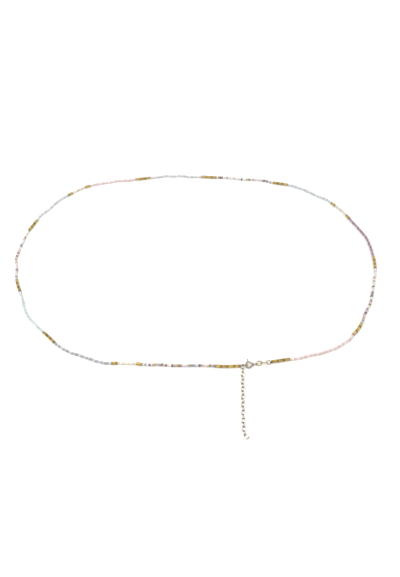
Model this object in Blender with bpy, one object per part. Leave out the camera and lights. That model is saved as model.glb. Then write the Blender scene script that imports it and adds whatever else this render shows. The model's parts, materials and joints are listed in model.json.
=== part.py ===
"""Belly chain: strung seed beads and gold tube beads, a spring ring clasp and an extender chain.

The chain lies on the floor, Z = 0, as an open oval loop. The clasp is on the near side (-Y) and the
extender chain runs from it further toward -Y. All sizes are in metres.
"""
import math

import bmesh
import bpy
from mathutils import Matrix, Vector

MM = 0.001

# Clearances
BEAD_GAP = 0.3 * MM            # between two tube beads, and from a tube bead to the seed beads
LINK_GAP = 0.15 * MM           # between two links, where one pulls on the other
RING_SLACK = 0.2 * MM          # how far the spring ring hangs from the end link's tip

# Beads and thread
SEED_DIAMETER = 2.1 * MM
TUBE_DIAMETER = 2.25 * MM
TUBE_LENGTH = 4.3 * MM
TUBE_BORE = 1.2 * MM
TUBE_CHAMFER = 0.15 * MM
TUBE_SIDES = 10
THREAD_DIAMETER = 0.6 * MM
THREAD_LOOP = 1.23 * MM        # from the last bead to the middle of the end link's wire
STRING_STEP = 11.0 * MM        # longest straight piece of the string's tube

# Spring ring clasp
RING_DIAMETER = 5.4 * MM
RING_WIRE = 1.2 * MM           # outside of the ring's hollow tube
RING_BORE = 0.82 * MM
RING_SIDES = 12
RING_STEP = math.radians(14.0)     # along the ring, from one cross-section to the next
RING_ROLL = math.radians(25.0)
BOLT_DIAMETER = 0.6 * MM
BOLT_SIDES = 10
BOLT_STEP = math.radians(9.0)
BOLT_TRAVEL = math.radians(52.0)
MOUTH_START = math.radians(34.0)   # the ring's mouth, which the bolt closes
MOUTH_END = math.radians(84.0)
BOLT_SEAT = math.radians(5.0)      # how far the bolt's tip goes into the ring's far end
KNOB_ANGLE = math.radians(95.0)
BOLT_TAIL = math.radians(24.0)     # how far the bolt reaches behind its knob
STEM_DIAMETER = 0.26 * MM
KNOB_DIAMETER = 1.0 * MM
KNOB_NECK = 0.42                   # where the stem ends in the knob, as a share of its diameter
KNOB_HEIGHT = 1.0 * MM             # from the ring's outside to the knob's middle
SLOT_GAP = 0.1 * MM
EYE_DIAMETER = 2.0 * MM
EYE_WIRE = 0.5 * MM
EYE_SOLDER = 0.6 * MM              # how deep the eye sits in the ring's tube

# Links: length, width and wire of each, outside sizes
WIRE_SIDES = 6
LINK_STEPS = 12
END_LINK = (4.5 * MM, 3.6 * MM, 0.6 * MM)
SMALL_LINK = (3.6 * MM, 2.8 * MM, 0.5 * MM)
LARGE_LINK = (5.1 * MM, 3.9 * MM, 0.85 * MM)
THIRD_LINK = (5.6 * MM, 3.0 * MM, 0.5 * MM)
END_RING = (3.7 * MM, 3.7 * MM, 0.6 * MM)
EXTENDER_LINK = (4.15 * MM, 3.5 * MM, 0.55 * MM)
EXTENDER_SEAT = 0.08 * MM          # how deep two extender links press into each other
EXTENDER_LINKS = 17                # in line, before the last ones that lie aside
EXTENDER_FIRST_ROLLS = [math.radians(28.0), math.radians(-62.0)]
FACE_ROLL = math.radians(45.0)     # a link that turns its face to the viewer
EDGE_ROLL = math.radians(-45.0)    # a link that turns its edge to the viewer
END_LINK_ROLL = math.radians(-74.0)
END_LINK_DROP = 0.23 * MM          # how much lower its right end lies, in the spring ring

# The loop's middle line on the floor, in millimetres: points chosen by hand, counter-clockwise seen
# from above, beginning in the clasp
ROUTE_MM = [
    (33.5, -77.8), (50.0, -75.2), (67.6, -72.1), (83.8, -69.2), (100.9, -63.5), (114.7, -54.5),
    (125.7, -40.4), (133.6, -24.9), (140.2, -8.8), (144.5, 8.1), (147.5, 25.1), (147.1, 42.5),
    (143.2, 59.1), (135.2, 75.3), (127.4, 89.8), (115.6, 103.2), (101.6, 113.2), (86.8, 121.7),
    (69.3, 126.2), (53.4, 129.9), (35.4, 131.2), (18.5, 133.4), (1.3, 133.6), (-16.6, 135.2),
    (-32.9, 134.2), (-50.7, 130.8), (-67.8, 128.4), (-84.6, 124.9), (-101.0, 119.0), (-114.9, 108.7),
    (-126.4, 95.8), (-135.7, 81.1), (-142.4, 65.2), (-146.6, 48.3), (-148.0, 31.0), (-145.5, 13.9),
    (-140.9, -2.9), (-134.3, -19.0), (-126.6, -34.5), (-114.3, -46.8), (-101.9, -59.1), (-87.2, -67.7),
    (-70.1, -74.1), (-53.9, -75.3), (-35.9, -76.5), (-19.0, -77.1), (-1.6, -77.5), (15.7, -77.8),
]
CLASP_START = -0.5 * MM            # where the clasp begins along that line

# The extender's middle line toward the viewer, in millimetres from where it hooks on the end link
EXTENDER_ROUTE_MM = [(0.0, 0.0), (-0.1, -3.2), (-0.7, -20.8), (-1.2, -37.8), (-1.4, -58.0)]
EXTENDER_ASIDE = 0.15 * MM         # from the end link's tip to the extender's middle line
EXTENDER_TAIL_HEADINGS = [math.radians(-80.0), math.radians(-45.0)]

# The string, from the clasp's right side round to its left side: kind of run and number of beads
RUNS = [
    ("tubes", 3), ("pink", 37), ("tubes", 3), ("mixed", 40), ("tubes", 3), ("mauve", 32), ("tubes", 1),
    ("cream", 10), ("tubes", 1), ("blue", 30), ("tubes", 3), ("mixed", 35), ("tubes", 3), ("lavender", 32),
    ("tubes", 3), ("pink", 28), ("tubes", 1), ("cream", 9), ("tubes", 1), ("white", 27), ("tubes", 3),
    ("mixed", 38), ("tubes", 3), ("mint", 32), ("tubes", 3), ("silver", 32), ("tubes", 1), ("cream", 9),
    ("tubes", 1), ("mixed", 35), ("tubes", 4),
]
HALVES_MEET_IN_RUN = 14            # the tube run at the far side, whose middle bead hides the meeting


def clear_scene():
    for old in list(bpy.data.objects):
        bpy.data.objects.remove(old, do_unlink=True)


def make_material(name, colour, roughness, metallic):
    material = bpy.data.materials.new(name)
    material.use_nodes = True
    shader = material.node_tree.nodes["Principled BSDF"]
    shader.inputs["Base Color"].default_value = (*colour, 1.0)
    shader.inputs["Roughness"].default_value = roughness
    shader.inputs["Metallic"].default_value = metallic
    material.diffuse_color = (*colour, 1.0)
    return material


def make_object(name, mesh, material, matrix=None):
    thing = bpy.data.objects.new(name, mesh)
    bpy.context.scene.collection.objects.link(thing)
    if material is not None:
        mesh.materials.append(material)
    if matrix is not None:
        thing.matrix_world = matrix
    return thing


def mesh_from(bm, name, sharp_deg=40.0):
    """A mesh with its normals facing out, shaded smooth apart from its sharp edges."""
    bmesh.ops.recalc_face_normals(bm, faces=bm.faces)
    mesh = bpy.data.meshes.new(name)
    bm.to_mesh(mesh)
    bm.free()
    mesh.shade_smooth()
    mesh.set_sharp_from_angle(angle=math.radians(sharp_deg))
    return mesh


class Route:
    """A smooth closed curve through points, read by the distance along it."""

    def __init__(self, points, closed, steps=24):
        self.points, self.marks = [], [0.0]
        count = len(points)
        spans = count if closed else count - 1
        for span in range(spans):
            corners = [self.pick(points, span + shift, closed) for shift in (-1, 0, 1, 2)]
            for step in range(steps):
                self.points.append(self.between(corners, step / steps))
        self.points.append(Vector(points[0] if closed else points[-1]))
        for a, b in zip(self.points, self.points[1:]):
            self.marks.append(self.marks[-1] + (b - a).length)
        self.length = self.marks[-1]
        self.closed = closed

    @staticmethod
    def pick(points, index, closed):
        if closed:
            return Vector(points[index % len(points)])
        return Vector(points[min(max(index, 0), len(points) - 1)])

    @staticmethod
    def between(corners, t):
        """Catmull-Rom: a cubic whose slope at each point is half the step between its neighbours."""
        a, b, c, d = corners
        return 0.5 * (2 * b + (c - a) * t + (2 * a - 5 * b + 4 * c - d) * t ** 2
                      + (3 * b - a - 3 * c + d) * t ** 3)

    def at(self, distance):
        if self.closed:
            distance %= self.length
        distance = min(max(distance, 0.0), self.length)
        low, high = 0, len(self.marks) - 1
        while high - low > 1:
            middle = (low + high) // 2
            if self.marks[middle] <= distance:
                low = middle
            else:
                high = middle
        share = (distance - self.marks[low]) / (self.marks[high] - self.marks[low])
        return self.points[low].lerp(self.points[high], share)


def in_metres(points, height):
    return [(x * MM, y * MM, height) for x, y in points]


def aimed(start, end, roll):
    """The frame at the middle of start and end, X toward end, turned about X by roll."""
    along = end - start
    heading = math.atan2(along.y, along.x)
    climb = math.atan2(along.z, math.hypot(along.x, along.y))
    turn = Matrix.Rotation(heading, 4, "Z") @ Matrix.Rotation(-climb, 4, "Y") @ Matrix.Rotation(roll, 4, "X")
    return Matrix.Translation((start + end) / 2) @ turn


def add_link(bm, size, matrix):
    """An oval of round wire: its middle line is an ellipse, with a corner of the wire turned inward."""
    length, width, wire = size
    half_length, half_width = (length - wire) / 2, (width - wire) / 2
    rings = []
    for step in range(LINK_STEPS):
        turn = 2 * math.pi * step / LINK_STEPS
        middle = Vector((half_length * math.cos(turn), half_width * math.sin(turn), 0))
        outward = Vector((half_width * math.cos(turn), half_length * math.sin(turn), 0)).normalized()
        ring = []
        for side in range(WIRE_SIDES):
            lean = 2 * math.pi * side / WIRE_SIDES
            offset = outward * math.cos(lean) + Vector((0, 0, 1)) * math.sin(lean)
            ring.append(bm.verts.new(matrix @ (middle + offset * wire / 2)))
        rings.append(ring)
    for step in range(LINK_STEPS):
        ring, after = rings[step], rings[(step + 1) % LINK_STEPS]
        for side in range(WIRE_SIDES):
            other = (side + 1) % WIRE_SIDES
            bm.faces.new((ring[side], after[side], after[other], ring[other]))


def make_link(name, size, matrix, material):
    bm = bmesh.new()
    add_link(bm, size, Matrix.Identity(4))
    return make_object(name, mesh_from(bm, name), material, matrix)


def tube_bead_mesh():
    """A drilled tube along X with chamfered rims and a flat facet below."""
    outer, bore, half = TUBE_DIAMETER / 2, TUBE_BORE / 2, TUBE_LENGTH / 2
    profile = [
        (-half, bore), (-half, outer - TUBE_CHAMFER), (-half + TUBE_CHAMFER, outer),
        (half - TUBE_CHAMFER, outer), (half, outer - TUBE_CHAMFER), (half, bore),
    ]
    bm = bmesh.new()
    rings = []
    for side in range(TUBE_SIDES):
        lean = 2 * math.pi * (side + 0.5) / TUBE_SIDES - math.pi / 2
        rings.append([bm.verts.new((x, r * math.cos(lean), r * math.sin(lean))) for x, r in profile])
    for side in range(TUBE_SIDES):
        ring, after = rings[side], rings[(side + 1) % TUBE_SIDES]
        for step in range(len(profile)):
            other = (step + 1) % len(profile)
            bm.faces.new((ring[step], ring[other], after[other], after[step]))
    return mesh_from(bm, "tube_bead", 30.0)


def tube_height():
    """The height of a tube bead's middle when its lowest facet lies on the floor."""
    return TUBE_DIAMETER / 2 * math.cos(math.pi / TUBE_SIDES)


def lay_out_runs(start, length):
    """Each run's kind, start and end: tube beads keep their size and seed beads share the rest."""
    tube_pitch = TUBE_LENGTH + BEAD_GAP
    tubes = sum(count for kind, count in RUNS if kind == "tubes")
    seeds = sum(count for kind, count in RUNS if kind != "tubes")
    seed_pitch = (length - tubes * tube_pitch) / seeds
    runs, place = [], start
    for kind, count in RUNS:
        run_length = count * (tube_pitch if kind == "tubes" else seed_pitch)
        runs.append((kind, count, place, place + run_length))
        place += run_length
    return runs


def string_points(runs):
    """The string's points as distance and radius: thick over seed beads, thin through tube beads."""
    thick, thin = SEED_DIAMETER / 2, THREAD_DIAMETER / 2
    tube_pitch = TUBE_LENGTH + BEAD_GAP
    points = []
    for kind, count, start, end in runs:
        if kind == "tubes":
            points += [(start + tube_pitch * joint, thin) for joint in range(count + 1)]
        else:
            first, last = start + BEAD_GAP / 2, end - BEAD_GAP / 2
            spans = max(1, round((last - first) / STRING_STEP))
            points += [(first + (last - first) * step / spans, thick) for step in range(spans + 1)]
    return points


def make_string(name, route, points, material):
    curve = bpy.data.curves.new(name, "CURVE")
    curve.dimensions = "3D"
    curve.bevel_depth = SEED_DIAMETER / 2
    curve.bevel_resolution = 2
    curve.use_fill_caps = True
    curve.materials.append(material)
    spline = curve.splines.new("POLY")
    spline.points.add(len(points) - 1)
    for point, (distance, radius) in zip(spline.points, points):
        point.co = (*route.at(distance), 1.0)
        point.radius = radius / curve.bevel_depth
    thing = bpy.data.objects.new(name, curve)
    bpy.context.scene.collection.objects.link(thing)
    return thing


def make_beads(route, start, length, bead_material, tube_material):
    """Both halves of the string and all the tube beads on it."""
    runs = lay_out_runs(start, length)
    middle_run = runs[HALVES_MEET_IN_RUN]
    meeting = (middle_run[2] + middle_run[3]) / 2
    points = string_points(runs)
    thin = THREAD_DIAMETER / 2
    right = [point for point in points if point[0] < meeting] + [(meeting - BEAD_GAP / 2, thin)]
    left = [(meeting + BEAD_GAP / 2, thin)] + [point for point in points if point[0] > meeting]
    make_string("bead_string_right", route, right, bead_material)
    make_string("bead_string_left", route, left, bead_material)
    mesh = tube_bead_mesh()
    mesh.materials.append(tube_material)
    number = 0
    for kind, count, first, last in runs:
        if kind != "tubes":
            continue
        for bead in range(count):
            number += 1
            near = route.at(first + bead * (TUBE_LENGTH + BEAD_GAP))
            far = route.at(first + (bead + 1) * (TUBE_LENGTH + BEAD_GAP))
            make_object(f"gold_tube_{number:02d}", mesh, None, aimed(near, far, 0.0))


def ring_point(angle, radius, lean, tube_radius):
    """A point on a torus about Z: angle round the ring, lean round its tube from the outside."""
    reach = radius + tube_radius * math.cos(lean)
    return Vector((reach * math.cos(angle), reach * math.sin(angle), tube_radius * math.sin(lean)))


def spread(start, end, step):
    count = max(1, math.ceil((end - start) / step - 1e-6))
    return [start + (end - start) * index / count for index in range(count)]


def make_clasp_ring(matrix, material):
    """A hollow tube bent round from one side of the mouth to the other, with a slot for the knob."""
    radius = (RING_DIAMETER - RING_WIRE) / 2
    slot_room = (STEM_DIAMETER / 2 + SLOT_GAP) / radius
    slot_start, slot_end = KNOB_ANGLE - slot_room, KNOB_ANGLE + BOLT_TRAVEL + slot_room
    turn_end = MOUTH_START + 2 * math.pi
    angles = spread(MOUTH_END, slot_start, RING_STEP)
    slot_first = len(angles)
    angles += spread(slot_start, slot_end, RING_STEP)
    slot_last = len(angles)
    angles += spread(slot_end, turn_end, RING_STEP) + [turn_end]
    leans = [2 * math.pi * side / RING_SIDES for side in range(RING_SIDES)]
    bm = bmesh.new()
    outer, inner = [
        [[bm.verts.new(ring_point(angle, radius, lean, tube / 2)) for lean in leans] for angle in angles]
        for tube in (RING_WIRE, RING_BORE)
    ]
    slot_sides = (0, RING_SIDES - 1)
    for place in range(len(angles) - 1):
        in_slot = slot_first <= place < slot_last
        for side in range(RING_SIDES):
            other = (side + 1) % RING_SIDES
            if in_slot and side in slot_sides:
                continue
            for wall in (outer, inner):
                bm.faces.new((wall[place][side], wall[place + 1][side],
                              wall[place + 1][other], wall[place][other]))
        if in_slot:
            for side in (1, RING_SIDES - 1):
                bm.faces.new((outer[place][side], outer[place + 1][side],
                              inner[place + 1][side], inner[place][side]))
    for place, sides in ((0, range(RING_SIDES)), (len(angles) - 1, range(RING_SIDES)),
                         (slot_first, slot_sides), (slot_last, slot_sides)):
        for side in sides:
            other = (side + 1) % RING_SIDES
            bm.faces.new((outer[place][side], outer[place][other], inner[place][other], inner[place][side]))
    ring = make_object("clasp_ring", mesh_from(bm, "clasp_ring"), material, matrix)

    eye_reach = RING_DIAMETER / 2 - EYE_SOLDER + EYE_DIAMETER / 2
    bm = bmesh.new()
    add_link(bm, (EYE_DIAMETER, EYE_DIAMETER, EYE_WIRE), Matrix.Translation((eye_reach, 0, 0)))
    eye = make_object("clasp_eye_guide", mesh_from(bm, "clasp_eye"), material, matrix)
    solder(ring, eye)
    return ring


def solder(thing, guide):
    """Joins the guide's shape to the thing as one solid."""
    guide.hide_render = True
    guide.display_type = "WIRE"
    union = thing.modifiers.new("soldered", "BOOLEAN")
    union.operation = "UNION"
    union.solver = "EXACT"
    union.object = guide


def make_bolt(matrix, material):
    """A curved round pin with a ball-headed knob that stands out through the slot."""
    radius = (RING_DIAMETER - RING_WIRE) / 2
    tip, tail = MOUTH_START - BOLT_SEAT, KNOB_ANGLE + BOLT_TAIL
    angles = spread(tip, tail, BOLT_STEP) + [tail]
    leans = [2 * math.pi * side / BOLT_SIDES for side in range(BOLT_SIDES)]
    bm = bmesh.new()
    rings = [[bm.verts.new(ring_point(angle, radius, lean, BOLT_DIAMETER / 2)) for lean in leans]
             for angle in angles]
    for ring, after in zip(rings, rings[1:]):
        for side in range(BOLT_SIDES):
            other = (side + 1) % BOLT_SIDES
            bm.faces.new((ring[side], after[side], after[other], ring[other]))
    bm.faces.new(rings[0])
    bm.faces.new(rings[-1])
    bolt = make_object("clasp_bolt", mesh_from(bm, "clasp_bolt"), material, matrix)

    root = radius + BOLT_DIAMETER / 4
    knob_middle = RING_DIAMETER / 2 + KNOB_HEIGHT
    neck = knob_middle - KNOB_DIAMETER * KNOB_NECK
    profile = [(root, 0.0), (root, STEM_DIAMETER / 2), (neck, STEM_DIAMETER / 2)]
    for turn in (-30.0, 0.0, 30.0, 60.0, 90.0):
        lean = math.radians(turn)
        profile.append((knob_middle + KNOB_DIAMETER / 2 * math.sin(lean), KNOB_DIAMETER / 2 * math.cos(lean)))
    bm = bmesh.new()
    corners = [bm.verts.new((x, 0, max(r, 0.0))) for x, r in profile]
    edges = [bm.edges.new(pair) for pair in zip(corners, corners[1:])]
    bmesh.ops.spin(bm, geom=corners + edges, cent=(0, 0, 0), axis=(1, 0, 0), angle=2 * math.pi,
                   steps=BOLT_SIDES, use_merge=True, use_duplicate=False)
    bmesh.ops.remove_doubles(bm, verts=bm.verts, dist=1e-7)
    knob = make_object("clasp_knob_guide", mesh_from(bm, "clasp_knob"), material,
                       matrix @ Matrix.Rotation(KNOB_ANGLE, 4, "Z"))
    solder(bolt, knob)
    return bolt


def link_height(size, roll):
    """The height of a rolled link's middle when its lowest wire lies on the floor."""
    _, width, wire = size
    return (width - wire) / 2 * abs(math.sin(roll)) + wire / 2


def make_clasp(route, metal):
    """The clasp group along the route, left to right. Returns where it ends and the left end link's tip."""
    end_length, _, end_wire = END_LINK
    end_height = link_height(END_LINK, END_LINK_ROLL) + END_LINK_DROP / 2
    ring_height = link_height((0, RING_DIAMETER, RING_WIRE), RING_ROLL)
    left_tip = CLASP_START + BEAD_GAP / 2 + THREAD_LOOP
    right_tip = left_tip + end_length - end_wire
    tip_point = route.at(left_tip) + Vector((0, 0, end_height))
    far_point = route.at(right_tip) + Vector((0, 0, end_height - END_LINK_DROP))
    make_link("end_link_left", END_LINK, aimed(tip_point, far_point, END_LINK_ROLL), metal)

    ring_radius = (RING_DIAMETER - RING_WIRE) / 2
    ring_middle = right_tip - (end_wire + RING_WIRE) / 2 - LINK_GAP - RING_SLACK + ring_radius
    lift = Vector((0, 0, ring_height))
    middle, ahead = route.at(ring_middle) + lift, route.at(ring_middle + RING_DIAMETER) + lift
    ring_matrix = Matrix.Translation(middle) @ aimed(middle, ahead, RING_ROLL).to_3x3().to_4x4()
    make_clasp_ring(ring_matrix, metal)
    make_bolt(ring_matrix, metal)

    eye_wire_middle = RING_DIAMETER / 2 - EYE_SOLDER + EYE_DIAMETER - EYE_WIRE / 2
    place, wire_before, height = ring_middle + eye_wire_middle, EYE_WIRE, ring_height
    pieces = (("connector_link_1", SMALL_LINK, EDGE_ROLL), ("connector_link_2", LARGE_LINK, FACE_ROLL),
              ("connector_link_3", THIRD_LINK, EDGE_ROLL), ("end_ring_right", END_RING, RING_ROLL))
    rests = [link_height(size, roll) for _, size, roll in pieces] + [tube_height()]
    for number, (name, size, roll) in enumerate(pieces):
        length, _, wire = size
        start = place - (wire_before + wire) / 2 - LINK_GAP
        end = start + length - wire
        height_after = max(rests[number:number + 2])
        make_link(name, size, aimed(route.at(start) + Vector((0, 0, height)),
                                    route.at(end) + Vector((0, 0, height_after)), roll), metal)
        place, wire_before, height = end, wire, height_after
    return place + wire_before / 2 + BEAD_GAP / 2, tip_point


def make_extender(tip_point, metal):
    """Interlocking links pressed into each other: every other one is joined to the rest as one solid."""
    length, _, wire = EXTENDER_LINK
    pitch = length - 2 * wire + EXTENDER_SEAT
    rest = link_height(EXTENDER_LINK, FACE_ROLL)
    route = Route(in_metres(EXTENDER_ROUTE_MM, 0.0), closed=False)
    wires_apart = (wire + END_LINK[2]) / 2 + LINK_GAP
    hook = Vector((
        tip_point.x + EXTENDER_ASIDE, tip_point.y + wires_apart - (length - wire - pitch) / 2, rest,
    ))
    joints = [route.at(pitch * joint) + hook for joint in range(EXTENDER_LINKS + 1)]
    for heading in EXTENDER_TAIL_HEADINGS:
        joints.append(joints[-1] + Vector((math.cos(heading), math.sin(heading), 0)) * pitch)
    rolls = [EDGE_ROLL if number % 2 else FACE_ROLL for number in range(len(joints) - 1)]
    rolls[:len(EXTENDER_FIRST_ROLLS)] = EXTENDER_FIRST_ROLLS
    rests = [link_height(EXTENDER_LINK, roll) for roll in rolls]
    for joint, near_rests in zip(joints[1:], zip(rests, rests[1:])):
        joint.z = max(near_rests)
    joints[0].z = tip_point.z
    groups = (bmesh.new(), bmesh.new())
    for number, (start, end, roll) in enumerate(zip(joints, joints[1:], rolls)):
        add_link(groups[number % 2], EXTENDER_LINK, aimed(start, end, roll))
    chain = make_object("extender_chain", mesh_from(groups[0], "extender_chain"), metal)
    others = make_object("extender_others_guide", mesh_from(groups[1], "extender_others"), metal)
    solder(chain, others)
    return chain


def main():
    clear_scene()
    pastel = make_material("pastel_glass", (0.80, 0.72, 0.74), 0.25, 0.0)
    tube_gold = make_material("gold_lined_tube", (0.62, 0.42, 0.13), 0.28, 0.85)
    metal = make_material("pale_gold_plate", (0.72, 0.60, 0.42), 0.25, 1.0)
    route = Route(in_metres(ROUTE_MM, 0.0), closed=True)
    clasp_end, tip_point = make_clasp(route, metal)
    lifted = Route(in_metres(ROUTE_MM, tube_height()), closed=True)
    make_beads(lifted, clasp_end, lifted.length + CLASP_START - clasp_end, pastel, tube_gold)
    make_extender(tip_point, metal)


main()
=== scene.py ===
import json
import math

import bpy
import numpy as np
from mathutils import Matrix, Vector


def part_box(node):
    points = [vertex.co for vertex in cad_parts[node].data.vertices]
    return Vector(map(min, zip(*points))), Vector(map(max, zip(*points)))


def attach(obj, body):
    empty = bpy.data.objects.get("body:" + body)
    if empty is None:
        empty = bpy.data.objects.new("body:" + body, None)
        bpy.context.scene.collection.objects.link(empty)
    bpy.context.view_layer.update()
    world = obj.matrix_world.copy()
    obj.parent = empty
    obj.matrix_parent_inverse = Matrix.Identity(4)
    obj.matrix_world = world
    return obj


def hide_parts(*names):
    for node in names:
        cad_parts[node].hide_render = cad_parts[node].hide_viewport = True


print("frame: loading the packed model")
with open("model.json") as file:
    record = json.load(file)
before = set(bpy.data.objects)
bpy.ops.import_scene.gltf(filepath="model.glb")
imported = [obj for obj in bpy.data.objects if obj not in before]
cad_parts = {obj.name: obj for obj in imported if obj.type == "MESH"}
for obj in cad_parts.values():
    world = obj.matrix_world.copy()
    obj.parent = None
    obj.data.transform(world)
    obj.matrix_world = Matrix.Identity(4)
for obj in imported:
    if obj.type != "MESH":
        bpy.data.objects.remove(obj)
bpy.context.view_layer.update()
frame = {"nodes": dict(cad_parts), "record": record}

mm = 0.001
upward = np.array([0.0, 0.0, 1.0])
rng = np.random.default_rng(11)


# Camera and light

studio = {
    "cameraPlace": (0.0038, -0.3541, 0.40505),
    "elevationDeg": 49.06,
    "lensMm": 41.93,
    "sensorMm": 36.0,
    "clipStart": 0.01,
    "floorSize": 6.0,
    "floorHex": "#FBFBFA",
    "worldHex": "#FFFFFF",
    # the room's light near the horizon and overhead, and the share of it that is left at the sides
    "wallStrength": 0.84,
    "ceilingStrength": 0.94,
    "sideShare": 0.8,
    # how steeply a direction rises where the ceiling's light sets in and where it is full, and how
    # far aside it points where the walls begin to dim and where they are dimmest, all from 0 to 1
    "ceilingRise": (0.05, 0.55),
    "sideFall": (0.35, 0.85),
    # name, place, width and power in watts of each soft box, the key one over the left shoulder
    "softBoxes": [
        ("keySoftBox", (-0.45, -0.30, 0.95), 0.40, 8.0),
        ("fillSoftBox", (0.70, 0.15, 0.85), 0.45, 4.0),
        ("backSoftBox", (-0.05, 0.85, 0.80), 0.45, 5.0),
    ],
}


def linear(hexColour):
    # sRGB hex to the linear values that the shader wants
    values = np.array([int(hexColour[place:place + 2], 16) for place in (1, 3, 5)]) / 255.0
    straight = np.where(values <= 0.04045, values / 12.92, ((values + 0.055) / 1.055) ** 2.4)
    return (*[float(value) for value in straight], 1.0)


def addNode(owner, kind, settings=None, links=None):
    # one node, its settings by socket or property name, and its inputs' sources: the stops of a
    # colour ramp are places and hex colours
    tree = owner.node_tree
    node = tree.nodes.new(kind)
    for name, value in (settings or {}).items():
        if name == "stops":
            for element, (place, hexColour) in zip(node.color_ramp.elements, value):
                element.position = place
                element.color = linear(hexColour)
        elif isinstance(name, int) or name in node.inputs:
            node.inputs[name].default_value = value
        else:
            setattr(node, name, value)
    for name, source in (links or {}).items():
        tree.links.new(source, node.inputs[name])
    return node


def newMaterial(name, uniform):
    # a material with its uniform values on the shader's own sockets
    material = bpy.data.materials.new(name)
    material.use_nodes = True
    shader = material.node_tree.nodes["Principled BSDF"]
    for socket, value in uniform.items():
        shader.inputs[socket].default_value = value
    return material


def feedShader(material, sources):
    # what drives the shader's other sockets
    shader = material.node_tree.nodes["Principled BSDF"]
    for socket, source in sources.items():
        material.node_tree.links.new(source, shader.inputs[socket])
    return material


def addStudio(look):
    scene = bpy.context.scene
    scene.view_settings.view_transform = "Standard"
    scene.view_settings.look = "None"
    world = bpy.data.worlds.new("softRoom")
    world.use_nodes = True
    background = world.node_tree.nodes["Background"]
    background.inputs["Color"].default_value = linear(look["worldHex"])
    # bright ceiling over dimmer walls, dimmest to the left and right, so that metal and glass have
    # something to mirror
    direction = addNode(world, "ShaderNodeTexCoord")
    parts = addNode(world, "ShaderNodeSeparateXYZ", None, {"Vector": direction.outputs["Generated"]})
    glow = addNode(world, "ShaderNodeMapRange", {
        "interpolation_type": "SMOOTHSTEP",
        "From Min": look["ceilingRise"][0], "From Max": look["ceilingRise"][1],
        "To Min": look["wallStrength"], "To Max": look["ceilingStrength"],
    }, {"Value": parts.outputs["Z"]})
    aside = addNode(world, "ShaderNodeMath", {"operation": "ABSOLUTE"}, {0: parts.outputs["X"]})
    curtain = addNode(world, "ShaderNodeMapRange", {
        "interpolation_type": "SMOOTHSTEP",
        "From Min": look["sideFall"][0], "From Max": look["sideFall"][1],
        "To Min": 1.0, "To Max": look["sideShare"],
    }, {"Value": aside.outputs["Value"]})
    strength = addNode(world, "ShaderNodeMath", {"operation": "MULTIPLY"},
                       {0: glow.outputs["Result"], 1: curtain.outputs["Result"]})
    world.node_tree.links.new(strength.outputs["Value"], background.inputs["Strength"])
    scene.world = world

    camera = bpy.data.objects.new("camera", bpy.data.cameras.new("camera"))
    camera.location = look["cameraPlace"]
    camera.rotation_euler = (math.radians(90.0 - look["elevationDeg"]), 0.0, 0.0)
    camera.data.lens = look["lensMm"]
    camera.data.sensor_width = look["sensorMm"]
    camera.data.clip_start = look["clipStart"]
    scene.collection.objects.link(camera)
    scene.camera = camera

    for name, place, width, power in look["softBoxes"]:
        light = bpy.data.lights.new(name, "AREA")
        light.energy = power
        light.size = width
        box = bpy.data.objects.new(name, light)
        box.location = place
        # turned to look at the middle of the loop
        towards = -np.array(place)
        box.rotation_euler = (
            math.acos(-towards[2] / np.linalg.norm(towards)), 0.0, math.atan2(towards[0], -towards[1]),
        )
        scene.collection.objects.link(box)

    half = look["floorSize"] / 2
    corners = [(-half, -half, 0.0), (half, -half, 0.0), (half, half, 0.0), (-half, half, 0.0)]
    mesh = bpy.data.meshes.new("paleFloor")
    mesh.from_pydata(corners, [], [(0, 1, 2, 3)])
    floor = bpy.data.objects.new("paleFloor", mesh)
    scene.collection.objects.link(floor)
    mesh.materials.append(mattePaper(look["floorHex"]))


def mattePaper(hexColour):
    # seamless background paper, matt: a faint fibre keeps it from looking like a flat fill
    material = newMaterial("seamlessMattePaper", {
        "Base Color": linear(hexColour), "Roughness": 0.85, "IOR": 1.45,
    })
    spot = addNode(material, "ShaderNodeTexCoord")
    # paper fibres, about 2.5 mm
    fibre = addNode(material, "ShaderNodeTexNoise", {"Scale": 1.0 / (2.5 * mm), "Detail": 3.0},
                    {"Vector": spot.outputs["Object"]})
    bump = addNode(material, "ShaderNodeBump", {"Strength": 0.03, "Distance": 0.1 * mm},
                   {"Height": fibre.outputs["Fac"]})
    return feedShader(material, {"Normal": bump.outputs["Normal"]})


# The string's middle line, the same points as in the solids, fitted to the photo, in metres: closed,
# counter-clockwise seen from above, beginning in the clasp
routePoints = np.array([
    (0.0335, -0.0778), (0.0500, -0.0752), (0.0676, -0.0721), (0.0838, -0.0692), (0.1009, -0.0635),
    (0.1147, -0.0545), (0.1257, -0.0404), (0.1336, -0.0249), (0.1402, -0.0088), (0.1445, 0.0081),
    (0.1475, 0.0251), (0.1471, 0.0425), (0.1432, 0.0591), (0.1352, 0.0753), (0.1274, 0.0898),
    (0.1156, 0.1032), (0.1016, 0.1132), (0.0868, 0.1217), (0.0693, 0.1262), (0.0534, 0.1299),
    (0.0354, 0.1312), (0.0185, 0.1334), (0.0013, 0.1336), (-0.0166, 0.1352), (-0.0329, 0.1342),
    (-0.0507, 0.1308), (-0.0678, 0.1284), (-0.0846, 0.1249), (-0.1010, 0.1190), (-0.1149, 0.1087),
    (-0.1264, 0.0958), (-0.1357, 0.0811), (-0.1424, 0.0652), (-0.1466, 0.0483), (-0.1480, 0.0310),
    (-0.1455, 0.0139), (-0.1409, -0.0029), (-0.1343, -0.0190), (-0.1266, -0.0345), (-0.1143, -0.0468),
    (-0.1019, -0.0591), (-0.0872, -0.0677), (-0.0701, -0.0741), (-0.0539, -0.0753), (-0.0359, -0.0765),
    (-0.0190, -0.0771), (-0.0016, -0.0775), (0.0157, -0.0778),
])

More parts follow.
